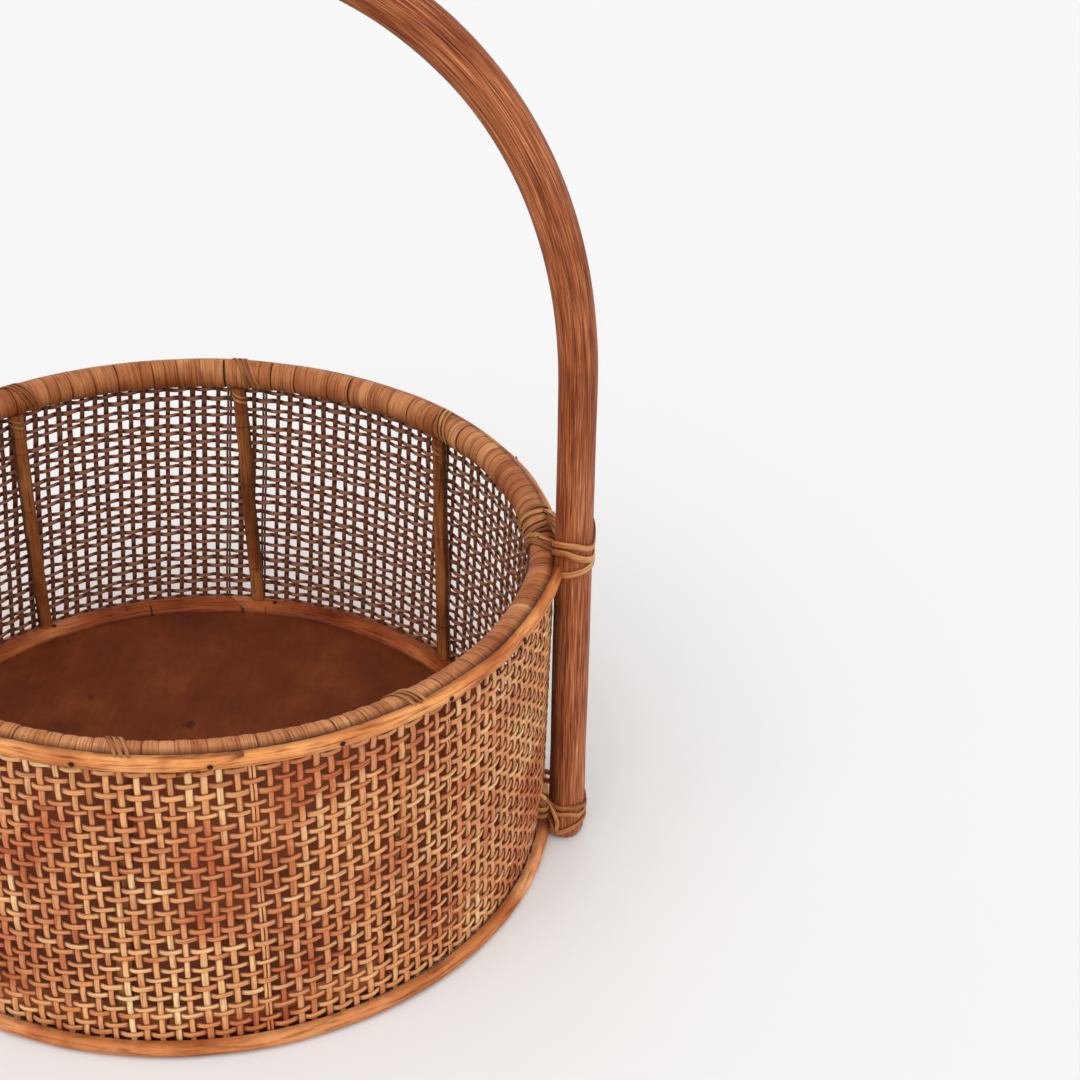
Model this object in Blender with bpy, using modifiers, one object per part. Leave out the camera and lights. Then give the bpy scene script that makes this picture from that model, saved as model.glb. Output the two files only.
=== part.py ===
"""Round woven cane fruit basket with a bent rattan pole handle.

Units are metres, +Z is up, and the origin is on the ground at the basket's centre.
The handle stands in the XZ plane. Each sub-part is one named object.
"""

import math

import bmesh
import bpy
from mathutils import Matrix, Vector

COLLECTION = "fruit_basket"
CUTTERS = "cutters"

# Every hoop has the same facets, so that nested hoops keep an even gap.
HOOP_STEPS = 72
GAP = 0.0004

# Woven wall: a thin cone, a little wider at the base.
WALL_BOTTOM_Z = 0.0012
WALL_TOP_Z = 0.1480
WALL_BOTTOM_RADIUS = 0.1580
WALL_TOP_RADIUS = 0.1551
WALL_THICKNESS = 0.0020

# Rim: a round core bound with cane inside the wall, and a half-round band outside it.
RING_RADIUS = 0.1523
RING_Z = 0.1447
RING_SECTION = 0.0069
BINDING_THICKNESS = 0.0009
BINDING_START = math.radians(57)
BINDING_END = math.radians(272)
CORE_RADIUS = 0.1499
CORE_SECTION = 0.0033
BAND_INNER_RADIUS = 0.1565
BAND_DEPTH = 0.0040
BAND_HEIGHT = 0.0069
BAND_Z = 0.1466

# Base: a half-round hoop outside the wall, a board, and a flatter hoop on the board.
BASE_INNER_RADIUS = 0.1595
BASE_DEPTH = 0.0051
BASE_HEIGHT = 0.0058
BASE_FOOT = 0.0030
BOARD_RADIUS = 0.1560
BOARD_BOTTOM_Z = 0.0024
BOARD_TOP_Z = 0.0076
FLOOR_HOOP_RADIUS = 0.1493
FLOOR_HOOP_HALF_WIDTH = 0.0068
FLOOR_HOOP_HEIGHT = 0.0029

# Stakes stand inside the wall and lean a little round it, as the weave does.
STAKE_AZIMUTHS = (49.3, 91.9, 134.5)
STAKE_LEAN = 1.2
STAKE_SECTION = 0.0030
STAKE_BOTTOM = (0.1531, 0.0114)
STAKE_TOP = (0.1506, 0.1370)

# Handle: two leaning legs and an arch, thickest at the crown.
FOOT_X = 0.1723
FOOT_Z = 0.0008
SPRING_X = 0.1629
SPRING_Z = 0.2330
SPRING_HANDLE = 0.1186
CROWN_Z = 0.4090
CROWN_HANDLE = 0.0857
SPRING_LEAN = 0.0432
POLE_RADIUS = 0.0081
POLE_CROWN_SCALE = 1.26

# Cane strips of the lashings and ties.
STRIP_THICKNESS = 0.0014
UPPER_LASH_Z = (0.1295, 0.1355)
UPPER_LASH_INNER_X = 0.1517
LOWER_LASH_Z = (0.0116, 0.0158)
LOWER_LASH_INNER_X = 0.1541
STRAP_CLEARANCE = 0.0004
STRAP_THICKNESS = 0.0010
STRAP_WIDTH = 0.0050
STRAP_START = math.radians(80)
STRAP_END = math.radians(226)
RIM_STRAP_SHIFT = 0.0050

# Small nails: a domed head on a short shank.
NAIL_HEAD_RADIUS = 0.0012
NAIL_HEAD_HEIGHT = 0.0007
NAIL_SHANK_RADIUS = 0.0005
NAIL_SHANK_LENGTH = 0.0022
NAIL_STEPS = 8
BAND_NAIL_Z = 0.1468
BAND_NAIL_FIRST = -75
BAND_NAIL_SPACING = 18
FLOOR_NAIL_FIRST = 87
FLOOR_NAIL_SPACING = 45
HANDLE_CLEAR_ANGLE = 8

POLE_COLOUR = (0.30, 0.115, 0.055)
CANE_COLOUR = (0.50, 0.26, 0.10)
BAND_COLOUR = (0.62, 0.34, 0.15)
WEAVE_COLOUR = (0.42, 0.19, 0.08)
BOARD_COLOUR = (0.13, 0.05, 0.025)
NAIL_COLOUR = (0.10, 0.07, 0.06)


def clear_scene():
    """Removes every object, and makes the two collections."""
    for item in list(bpy.data.objects):
        bpy.data.objects.remove(item)
    for name in (COLLECTION, CUTTERS):
        bpy.context.scene.collection.children.link(bpy.data.collections.new(name))


def material(name, colour, roughness, metallic=0.0):
    """A plain Principled material."""
    made = bpy.data.materials.new(name)
    made.use_nodes = True
    shader = made.node_tree.nodes["Principled BSDF"]
    shader.inputs["Base Color"].default_value = (*colour, 1.0)
    shader.inputs["Roughness"].default_value = roughness
    shader.inputs["Metallic"].default_value = metallic
    made.diffuse_color = (*colour, 1.0)
    return made


def add(name, data, finish, collection=COLLECTION):
    """Links a new object with its own material slot."""
    item = bpy.data.objects.new(name, data)
    bpy.data.collections[collection].objects.link(item)
    if finish:
        data.materials.append(finish)
    return item


def make_cutter(name, data):
    """A hidden object that only cuts others."""
    item = add(name, data, None, CUTTERS)
    item.hide_render = True
    item.display_type = "WIRE"
    return item


def cut(item, cutter):
    """Takes the cutter's volume out of an object."""
    boolean = item.modifiers.new("cut_" + cutter.name, "BOOLEAN")
    boolean.operation = "DIFFERENCE"
    boolean.object = cutter


def arc(centre, radii, start, end, steps):
    """Points on an elliptical arc, both ends included."""
    points = []
    for step in range(steps + 1):
        angle = start + (end - start) * step / steps
        points.append((centre[0] + radii[0] * math.cos(angle), centre[1] + radii[1] * math.sin(angle)))
    return points


def profile_mesh(name, points, closed):
    """A profile in the XZ plane, as points joined by edges."""
    vertices = [(x, 0.0, z) for x, z in points]
    edges = [(i, i + 1) for i in range(len(points) - 1)]
    if closed:
        edges.append((len(points) - 1, 0))
    mesh = bpy.data.meshes.new(name)
    mesh.from_pydata(vertices, edges, [])
    return mesh


def evaluated_mesh(item):
    """An object's final shape as a mesh, with its caps welded."""
    bpy.context.view_layer.update()
    mesh = bpy.data.meshes.new_from_object(item.evaluated_get(bpy.context.evaluated_depsgraph_get()))
    body = bmesh.new()
    body.from_mesh(mesh)
    bmesh.ops.remove_doubles(body, verts=body.verts, dist=0.000001)
    bmesh.ops.recalc_face_normals(body, faces=body.faces)
    body.to_mesh(mesh)
    body.free()
    return mesh


def adopt(name, finish):
    """Names the newly added primitive and moves it to the part's collection."""
    item = bpy.context.active_object
    item.name = name
    item.data.materials.append(finish)
    for owner in list(item.users_collection):
        owner.objects.unlink(item)
    bpy.data.collections[COLLECTION].objects.link(item)
    return item


def turn(item, steps=HOOP_STEPS):
    """Turns an object's profile about its Z axis."""
    screw = item.modifiers.new("turn", "SCREW")
    screw.steps = steps
    screw.render_steps = steps
    screw.use_merge_vertices = True
    screw.merge_threshold = 0.00001


def hoop(name, points, finish):
    """A ring with a closed section, which runs down its outer side."""
    item = add(name, profile_mesh(name, points, True), finish)
    turn(item)
    return item


def ring_cutter(name, points):
    item = make_cutter(name, profile_mesh(name, points, True))
    turn(item)
    return item


def half_round(inner_radius, centre_z, depth, half_height, steps=6):
    """A half-round section with its flat side inwards, from top to bottom."""
    return arc((inner_radius, centre_z), (depth, half_height), math.pi / 2, -math.pi / 2, steps)


def leg_x(z):
    """The handle leg's centre at a height below the arch."""
    return FOOT_X + (SPRING_X - FOOT_X) * (z - FOOT_Z) / (SPRING_Z - FOOT_Z)


def around(azimuth):
    """The turn about Z to an azimuth in degrees."""
    return Matrix.Rotation(math.radians(azimuth), 4, "Z")


def make_wall(finish):
    half = WALL_THICKNESS / 2
    return hoop(
        "woven_wall",
        [
            (WALL_TOP_RADIUS - half, WALL_TOP_Z),
            (WALL_TOP_RADIUS + half, WALL_TOP_Z),
            (WALL_BOTTOM_RADIUS + half, WALL_BOTTOM_Z),
            (WALL_BOTTOM_RADIUS - half, WALL_BOTTOM_Z),
        ],
        finish,
    )


def make_rim(cane, band):
    """The core, the cane binding that wraps it, and the outer band."""
    core = arc((CORE_RADIUS, RING_Z), (CORE_SECTION, CORE_SECTION), 0, -math.tau, 10)[:-1]
    hoop("rim_core", core, cane)

    outer = arc((RING_RADIUS, RING_Z), (RING_SECTION, RING_SECTION), BINDING_END, BINDING_START, 14)
    inside = RING_SECTION - BINDING_THICKNESS
    inner = arc((RING_RADIUS, RING_Z), (inside, inside), BINDING_START, BINDING_END, 10)
    hoop("rim_binding", outer + inner, cane)

    section = half_round(BAND_INNER_RADIUS, BAND_Z, BAND_DEPTH, BAND_HEIGHT / 2)
    return hoop("rim_outer_band", section, band)


def base_section(grow=0.0):
    """The base hoop's section: half-round, with a flat foot on the ground."""
    points = half_round(BASE_INNER_RADIUS, BASE_HEIGHT / 2, BASE_DEPTH + grow, BASE_HEIGHT / 2 + grow, 8)
    foot_radius = BASE_INNER_RADIUS + BASE_FOOT
    kept = [p for p in points if p[1] > BASE_HEIGHT / 4 or p[0] > foot_radius + 0.001]
    return kept + [(foot_radius + grow, -grow), (BASE_INNER_RADIUS, -grow)]


def make_base(cane, band, board):
    """The outer hoop, the board and the hoop that lies on the board."""
    hoop("base_outer_hoop", base_section(), band)

    bpy.ops.mesh.primitive_cylinder_add(
        vertices=HOOP_STEPS,
        radius=BOARD_RADIUS,
        depth=BOARD_TOP_Z - BOARD_BOTTOM_Z,
        location=(0, 0, (BOARD_TOP_Z + BOARD_BOTTOM_Z) / 2),
    )
    adopt("floor_board", board)

    low = BOARD_TOP_Z + GAP
    radii = (FLOOR_HOOP_HALF_WIDTH, FLOOR_HOOP_HEIGHT)
    section = arc((FLOOR_HOOP_RADIUS, low), radii, math.pi, 0, 8)
    return hoop("base_inner_hoop", section, cane)


def half_handle(side):
    """One side's two knots: the foot and the springing of the arch."""
    lean = Vector((-side * math.sin(SPRING_LEAN), 0, math.cos(SPRING_LEAN)))
    foot = Vector((side * FOOT_X, 0, FOOT_Z))
    spring = Vector((side * SPRING_X, 0, SPRING_Z))
    down = spring - lean * SPRING_Z / 3
    up = spring + lean * SPRING_HANDLE
    return foot, spring, down, up


def make_handle(finish):
    """The pole: one Bezier path from foot to foot."""
    curve = bpy.data.curves.new("handle_path", "CURVE")
    curve.dimensions = "3D"
    curve.resolution_u = 14
    curve.bevel_depth = POLE_RADIUS
    curve.bevel_resolution = 2
    curve.use_fill_caps = True
    spline = curve.splines.new("BEZIER")
    spline.bezier_points.add(4)
    knots = spline.bezier_points
    for index, side in ((0, 1), (4, -1)):
        foot, spring, down, up = half_handle(side)
        step = 1 if side > 0 else -1
        before, after = (down, up) if side > 0 else (up, down)
        knots[index].co = foot
        knots[index].handle_left = foot
        knots[index].handle_right = foot
        if side > 0:
            knots[index].handle_right = foot + (spring - foot) / 3
        else:
            knots[index].handle_left = foot + (spring - foot) / 3
        knots[index + step].co = spring
        knots[index + step].handle_left = before
        knots[index + step].handle_right = after
    crown = Vector((0, 0, CROWN_Z))
    reach = Vector((CROWN_HANDLE, 0, 0))
    knots[2].co = crown
    knots[2].handle_left = crown + reach
    knots[2].handle_right = crown - reach
    knots[2].radius = POLE_CROWN_SCALE
    tube = add("handle_tube", curve, None)

    mesh = evaluated_mesh(tube)
    place = tube.matrix_world.copy()
    bpy.data.objects.remove(tube)
    mesh.name = "handle_pole"
    pole = add("handle_pole", mesh, finish)
    pole.matrix_world = place
    return pole


def seat_pole(pole):
    """Saddle notches where the pole beds against the rim band and the base hoop."""
    band = half_round(BAND_INNER_RADIUS, BAND_Z, BAND_DEPTH + GAP, BAND_HEIGHT / 2 + GAP)
    cut(pole, ring_cutter("band_seat", band))
    cut(pole, ring_cutter("hoop_seat", base_section(GAP)))


def flat_outline(name, outlines, height):
    """The mesh of a flat plate from closed outlines, the second of which is a hole."""
    curve = bpy.data.curves.new(name, "CURVE")
    curve.dimensions = "2D"
    curve.fill_mode = "BOTH"
    curve.extrude = height / 2
    for outline in outlines:
        spline = curve.splines.new("POLY")
        spline.points.add(len(outline) - 1)
        for point, (x, y) in zip(spline.points, outline):
            point.co = (x, y, 0.0, 1.0)
        spline.use_cyclic_u = True
    shape = add(name + "_outline", curve, None)
    mesh = evaluated_mesh(shape)
    mesh.name = name
    bpy.data.objects.remove(shape)
    return mesh


def loop_outline(inner_x, pole_x, radius):
    """A loop round a leg: a half circle outside, square at the inner side."""
    points = arc((pole_x, 0), (radius, radius), -math.pi / 2, math.pi / 2, 12)
    return points + [(inner_x, radius), (inner_x, -radius)]


def lash_mesh(name, heights, inner_x, grow):
    """A flat loop of cane strip that holds a leg against the wall, at azimuth 0."""
    middle = sum(heights) / 2
    inside = POLE_RADIUS + 2 * GAP - grow
    outside = POLE_RADIUS + 2 * GAP + STRIP_THICKNESS + grow
    outer = loop_outline(inner_x - grow, leg_x(middle), outside)
    inner = loop_outline(inner_x + STRIP_THICKNESS + grow, leg_x(middle), inside)
    mesh = flat_outline(name, (outer, inner), heights[1] - heights[0] + 2 * grow)
    mesh.transform(Matrix.Translation((0, 0, middle)))
    return mesh


def strap_mesh():
    """A short strap bent over the bound ring at azimuth 0."""
    near = RING_SECTION + STRAP_CLEARANCE
    far = near + STRAP_THICKNESS
    outline = arc((RING_RADIUS, RING_Z), (near, near), STRAP_START, STRAP_END, 10)
    outline += arc((RING_RADIUS, RING_Z), (far, far), STRAP_END, STRAP_START, 10)
    mesh = flat_outline("rim_strap", (outline,), STRAP_WIDTH)
    mesh.transform(Matrix.Rotation(math.pi / 2, 4, "X"))
    return mesh


def make_lashings(wall, strap, cane):
    """Upper and lower lashings on both legs, which pass through slots in the weave."""
    levels = (("upper", UPPER_LASH_Z, UPPER_LASH_INNER_X), ("lower", LOWER_LASH_Z, LOWER_LASH_INNER_X))
    for side, azimuth in (("right", 0), ("left", 180)):
        for level, heights, inner_x in levels:
            name = f"{level}_lashing_{side}"
            loop = add(name, lash_mesh(name, heights, inner_x, 0.0), cane)
            loop.matrix_world = around(azimuth)
            slot = make_cutter(name + "_slot", lash_mesh(name + "_slot", heights, inner_x, GAP))
            slot.matrix_world = around(azimuth)
            cut(wall, slot)
        for number, shift in ((1, -RIM_STRAP_SHIFT), (2, RIM_STRAP_SHIFT)):
            piece = add(f"upper_strap_{side}_{number}", strap, None)
            piece.matrix_world = around(azimuth) @ Matrix.Translation((0, shift, 0))


def make_stakes(strap, finish):
    """Six round stakes inside the wall, each tied to the ring by a strap."""
    azimuths = [azimuth + half_turn for half_turn in (0, 180) for azimuth in STAKE_AZIMUTHS]
    for number, azimuth in enumerate(azimuths, start=1):
        low = around(azimuth - STAKE_LEAN) @ Vector((STAKE_BOTTOM[0], 0, STAKE_BOTTOM[1]))
        high = around(azimuth + STAKE_LEAN) @ Vector((STAKE_TOP[0], 0, STAKE_TOP[1]))
        axis = high - low
        bpy.ops.mesh.primitive_cylinder_add(
            vertices=12,
            radius=STAKE_SECTION,
            depth=axis.length,
            location=(low + high) / 2,
            rotation=axis.to_track_quat("Z", "Y").to_euler(),
        )
        adopt(f"stake_{number}", finish)
        tie = add(f"stake_tie_{number}", strap, None)
        tie.matrix_world = around(azimuth + STAKE_LEAN)


def nail_mesh(finish):
    """A nail that points up, with the underside of its head at the origin."""
    points = [
        (0.0, NAIL_HEAD_HEIGHT),
        (NAIL_HEAD_RADIUS, 0.0),
        (NAIL_SHANK_RADIUS, 0.0),
        (NAIL_SHANK_RADIUS, -NAIL_SHANK_LENGTH),
        (0.0, -NAIL_SHANK_LENGTH),
    ]
    nail = add("nail_profile", profile_mesh("nail", points, False), finish)
    turn(nail, NAIL_STEPS)
    mesh = evaluated_mesh(nail)
    mesh.name = "nail"
    bpy.data.objects.remove(nail)
    return mesh


def drill_holes(name, places):
    """Clearance holes for the shanks of a ring of nails."""
    body = bmesh.new()
    radius = NAIL_SHANK_RADIUS + GAP
    for place in places:
        bmesh.ops.create_cone(
            body,
            cap_ends=True,
            segments=NAIL_STEPS,
            radius1=radius,
            radius2=radius,
            depth=4 * NAIL_SHANK_LENGTH,
            matrix=place,
        )
    mesh = bpy.data.meshes.new(name)
    body.to_mesh(mesh)
    body.free()
    return make_cutter(name, mesh)


def make_nails(name, target, azimuths, seat, outward, mesh):
    """A ring of nails, and their holes in the piece that they hold."""
    tilt = Vector((0, 0, 1)).rotation_difference(Vector(outward)).to_matrix().to_4x4()
    places = [around(azimuth) @ Matrix.Translation((seat[0], 0, seat[1])) @ tilt for azimuth in azimuths]
    for number, place in enumerate(places, start=1):
        add(f"{name}_{number}", mesh, None).matrix_world = place
    cut(target, drill_holes(name + "_holes", places))


def clear_of_handle(azimuths):
    """Leaves out the places behind a leg."""
    return [a for a in azimuths if abs((a + 90) % 180 - 90) > HANDLE_CLEAR_ANGLE]


def shade(item):
    """Smooth shading with sharp corners kept."""
    if item.type == "MESH":
        item.data.shade_smooth()
        item.data.set_sharp_from_angle(angle=math.radians(35))


def main():
    clear_scene()
    pole_finish = material("rattan_pole", POLE_COLOUR, 0.45)
    cane = material("cane", CANE_COLOUR, 0.5)
    band_finish = material("split_rattan", BAND_COLOUR, 0.45)
    weave = material("woven_cane", WEAVE_COLOUR, 0.6)
    board = material("stained_board", BOARD_COLOUR, 0.55)
    iron = material("iron", NAIL_COLOUR, 0.5, 1.0)

    wall = make_wall(weave)
    band = make_rim(cane, band_finish)
    floor_hoop = make_base(cane, band_finish, board)
    seat_pole(make_handle(pole_finish))
    strap = strap_mesh()
    strap.materials.append(cane)
    make_lashings(wall, strap, cane)
    make_stakes(strap, band_finish)

    nail = nail_mesh(iron)
    band_face = BAND_INNER_RADIUS + BAND_DEPTH + GAP
    around_band = clear_of_handle(range(BAND_NAIL_FIRST, BAND_NAIL_FIRST + 360, BAND_NAIL_SPACING))
    make_nails("rim_band_nail", band, around_band, (band_face, BAND_NAIL_Z), (1, 0, 0), nail)
    hoop_top = BOARD_TOP_Z + FLOOR_HOOP_HEIGHT + 2 * GAP
    around_floor = range(FLOOR_NAIL_FIRST, FLOOR_NAIL_FIRST + 360, FLOOR_NAIL_SPACING)
    make_nails("floor_hoop_nail", floor_hoop, around_floor, (FLOOR_HOOP_RADIUS, hoop_top), (0, 0, 1), nail)

    for item in bpy.data.collections[COLLECTION].objects:
        shade(item)


main()
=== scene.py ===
"""The looks of a woven cane fruit basket: every strand, wrap, hoop, nail and tie, in metres, +Z up."""

import math

import bpy
import numpy as np
from mathutils import Matrix, Vector


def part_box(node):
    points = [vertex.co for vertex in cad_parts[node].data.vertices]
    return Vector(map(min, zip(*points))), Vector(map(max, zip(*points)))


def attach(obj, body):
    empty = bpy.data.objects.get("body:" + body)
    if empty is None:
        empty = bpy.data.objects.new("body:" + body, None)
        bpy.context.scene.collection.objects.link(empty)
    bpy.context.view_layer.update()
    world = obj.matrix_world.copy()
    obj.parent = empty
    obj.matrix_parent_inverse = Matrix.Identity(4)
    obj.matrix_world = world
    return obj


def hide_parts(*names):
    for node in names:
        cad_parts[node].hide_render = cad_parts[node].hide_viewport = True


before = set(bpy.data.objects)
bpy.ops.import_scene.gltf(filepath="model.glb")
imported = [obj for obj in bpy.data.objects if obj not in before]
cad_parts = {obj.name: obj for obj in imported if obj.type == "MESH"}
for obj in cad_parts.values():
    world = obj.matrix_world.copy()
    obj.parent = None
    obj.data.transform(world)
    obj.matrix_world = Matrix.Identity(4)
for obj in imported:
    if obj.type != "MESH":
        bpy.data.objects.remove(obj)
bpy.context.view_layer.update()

RANDOM = np.random.default_rng(7)
TAU = math.tau
UP = np.array([0.0, 0.0, 1.0])

# Sizes that the frame's boxes give.
BAND_LOW, BAND_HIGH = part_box("rim_outer_band")
BINDING_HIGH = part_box("rim_binding")[1]
HOOP_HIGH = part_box("base_outer_hoop")[1]
FLOOR_HOOP_LOW, FLOOR_HOOP_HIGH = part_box("base_inner_hoop")
BOARD_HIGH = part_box("floor_board")[1]
WALL_LOW, WALL_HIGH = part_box("woven_wall")
POLE_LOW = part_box("handle_pole")[0]

# Woven wall.
COLUMNS = 160
ROWS = 28
WALL_BOTTOM_Z = WALL_LOW[2]
WALL_TOP_Z = WALL_HIGH[2]
WALL_BOTTOM_RADIUS = WALL_HIGH[0] - 0.0010
WALL_TOP_RADIUS = WALL_BOTTOM_RADIUS - 0.0029
WALL_SLANT = -0.033
WARP_WIDTH = 0.0026
WEFT_WIDTH = 0.0023
STRAND_THICKNESS = 0.0009
WARP_WAVE = 0.00038
WEFT_WAVE = 0.00042
WEFT_FLATNESS = 1.8
WEFT_SKEW = 0.00028
WEFT_SWAY = 0.00040
WEFT_JITTER = 0.00022
WEFT_SAMPLES = 6

# Rim.
RING_RADIUS = 0.1523
RING_Z = 0.1447
RING_SECTION = BINDING_HIGH[2] - RING_Z
WRAPS = 160
BAND_INNER = 0.1565
BAND_Z = (BAND_LOW[2] + BAND_HIGH[2]) / 2
BAND_DEPTH = BAND_HIGH[0] - BAND_INNER
BAND_HALF_HEIGHT = (BAND_HIGH[2] - BAND_LOW[2]) / 2
BAND_LAP = math.radians(-75)
BAND_LAP_LENGTH = math.radians(9)

# Base.
HOOP_INNER = 0.1595
HOOP_DEPTH = HOOP_HIGH[0] - HOOP_INNER
HOOP_HEIGHT = HOOP_HIGH[2]
HOOP_LAP = math.radians(160)
FLOOR_HOOP_RADIUS = 0.1493
FLOOR_HOOP_HALF_WIDTH = FLOOR_HOOP_HIGH[0] - FLOOR_HOOP_RADIUS
FLOOR_HOOP_LAP = math.radians(95)
FLOOR_HOOP_LAP_LENGTH = math.radians(4)
FLOOR_Z = BOARD_HIGH[2]

# Stakes and their ties, at the same places on both halves.
STAKE_AZIMUTHS = [azimuth + turn for turn in (0, 180) for azimuth in (49.3, 91.9, 134.5)]
STAKE_LEAN = 1.2
STAKE_SECTION = 0.0035
STAKE_BOTTOM = (0.1529, 0.0110)
STAKE_TOP = (0.1506, 0.1385)
STAKE_NODES = (0.126, 0.117, 0.083, 0.031)

# Handle.
FOOT = (0.1723, POLE_LOW[2])
SPRING = (0.1629, 0.2330)
SPRING_LEAN = 0.0432
SPRING_HANDLE = 0.1186
CROWN_Z = 0.4090
CROWN_HANDLE = 0.0857
POLE_RADIUS = 0.0081
POLE_CROWN_SCALE = 1.26
LEG_STEPS = 140

# The handle's pull draws the wall and rim out beside each leg. It fades over an angle.
PULL_HEIGHTS = (0.006, 0.030, 0.120, 0.140)
PULL_AMOUNTS = (0.0, 0.0024, 0.0026, 0.0019)
PULL_ANGLE = math.radians(12)

# An upper turn of a lashing has its azimuths on the ring at RING_ANGLES, its heights in mm on the pole
# at LASH_ANGLES and its azimuths on the ring again. A lower turn has only its heights. Angles are in
# degrees.
LASH_ANGLES = (-150, -110, -78, -45, -8, 30, 75, 125)
RING_ANGLES = (195, 165, 130, 95, 60)
UPPER_TURNS = (
    (
        (8.5, 7.6, 6.5, 4.7, 3.8),
        (160, 162, 162, 160, 160, 168, 170, 166),
        (13.6, 13.4, 13.0, 12.8, 13.4),
    ),
    (
        (7.0, 6.2, 4.6, 2.3, 1.4),
        (155.8, 158, 156.6, 154.6, 153.4, 158, 163, 161),
        (11.4, 10.8, 10.2, 10.4, 11.2),
    ),
)
UPPER_UNDER_TURN = ((144.5, 147, 148.6, 149.8, 151.0, 153, 156, 156), (9.3, 8.6, 8.2, 8.6, 9.4))
LOWER_TURNS = (
    (18.0, 19.2, 19.9, 19.6, 17.8, 19.0, 21.0, 21.0),
    (14.0, 15.3, 16.2, 14.6, 15.6, 21.0, 25.0, 26.0),
    (2.2, 4.2, 7.2, 9.4, 10.4, 11.0, 12.0, 12.0),
)
LASH_WIDTH = 0.0033
LASH_THICKNESS = 0.0015
INNER_TURN_AZIMUTHS = (7.0, 5.2, 14.4)
INNER_TURN_WIDTH = 0.0021
LOWER_TURN_WIDTH = 0.0027
WIDE_CROSSING_WIDTH = 0.0022
NARROW_CROSSING_WIDTH = 0.0017
TIE_WIDTH = 0.0015

# Camera (yaw, pitch and roll in radians) and light.
CAMERA_LENS = 67.07
CAMERA_PLACE = (0.1770, -0.7251, 0.6186)
CAMERA_TURN = (-0.0351, 0.5650, 0.0650)
KEY_STRENGTH = 1.25
SIDE_STRENGTH = 0.45
SUN_ANGLE = 60
SURROUND_STRENGTH = 0.80


# ---------------------------------------------------------------- numbers


def srgb(red, green, blue):
    """A colour from 0 to 255 as linear RGBA."""
    values = np.array([red, green, blue]) / 255
    return (*np.where(values <= 0.04045, values / 12.92, ((values + 0.055) / 1.055) ** 2.4), 1.0)


def unit(vectors):
    """Vectors scaled to length one."""
    return vectors / np.linalg.norm(vectors, axis=-1, keepdims=True)


def smooth_noise(positions, period, knots, seed):
    """A smooth random wave that repeats after a period, from -1 to 1."""
    values = np.random.default_rng(seed).uniform(-1, 1, knots)
    place = np.mod(positions / period, 1.0) * knots
    low = np.floor(place).astype(int) % knots
    share = place - np.floor(place)
    share = share * share * (3 - 2 * share)
    return values[low] * (1 - share) + values[(low + 1) % knots] * share


def spline(points, steps):
    """A smooth curve through points (Catmull-Rom), with steps samples to each stretch."""
    points = np.asarray(points, float)
    before = [2 * points[0] - points[1]]
    after = [2 * points[-1] - points[-2]]
    points = np.concatenate([before, points, after])
    share = np.linspace(0, 1, steps, endpoint=False)[:, None]
    pieces = []
    for a, b, c, d in zip(points, points[1:], points[2:], points[3:]):
        bend = (2 * a - 5 * b + 4 * c - d) * share**2 + (3 * b - a - 3 * c + d) * share**3
        pieces.append(b + 0.5 * ((c - a) * share + bend))
    return np.concatenate([*pieces, points[-2:-1]])


def polar(azimuth, radius, z):
    """Points from azimuths in radians, radii and heights."""
    azimuth, radius, z = np.broadcast_arrays(azimuth, radius, z)
    return np.stack([radius * np.cos(azimuth), radius * np.sin(azimuth), z], axis=-1)


def radial(azimuth):
    return polar(azimuth, 1.0, 0.0)


def pull(azimuth, z):
    """How far the handle's legs draw the basket out at a place."""
    turn = np.mod(azimuth + math.pi / 2, math.pi) - math.pi / 2
    return np.interp(z, PULL_HEIGHTS, PULL_AMOUNTS) * np.exp(-((turn / PULL_ANGLE) ** 2))


def wall_radius(azimuth, z):
    share = (z - WALL_BOTTOM_Z) / (WALL_TOP_Z - WALL_BOTTOM_Z)
    return WALL_BOTTOM_RADIUS + (WALL_TOP_RADIUS - WALL_BOTTOM_RADIUS) * share + pull(azimuth, z)


def leg_x(z):
    return FOOT[0] + (SPRING[0] - FOOT[0]) * (z - FOOT[1]) / (SPRING[1] - FOOT[1])


def strip_section(width, thickness, crown=5):
    """A flat strip with a rounded outer face, its back flat, counter-clockwise."""
    turn = np.linspace(0, math.pi, crown)
    top = np.stack([np.cos(turn) * width / 2, thickness * (0.5 * np.sin(turn) ** 0.6)], axis=1)
    back = np.array([[-0.42 * width, -thickness / 2], [0.42 * width, -thickness / 2]])
    return np.concatenate([top, back])


def round_section(radius, sides):
    turn = np.arange(sides) * TAU / sides
    return np.stack([radius * np.cos(turn), radius * np.sin(turn)], axis=1)


def half_round_section(half_width, height, sides):
    """A half-round section: its flat back is at zero height."""
    turn = np.linspace(0, math.pi, sides)
    return np.stack([half_width * np.cos(turn), height * np.sin(turn)], axis=1)


# ---------------------------------------------------------------- meshes


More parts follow.
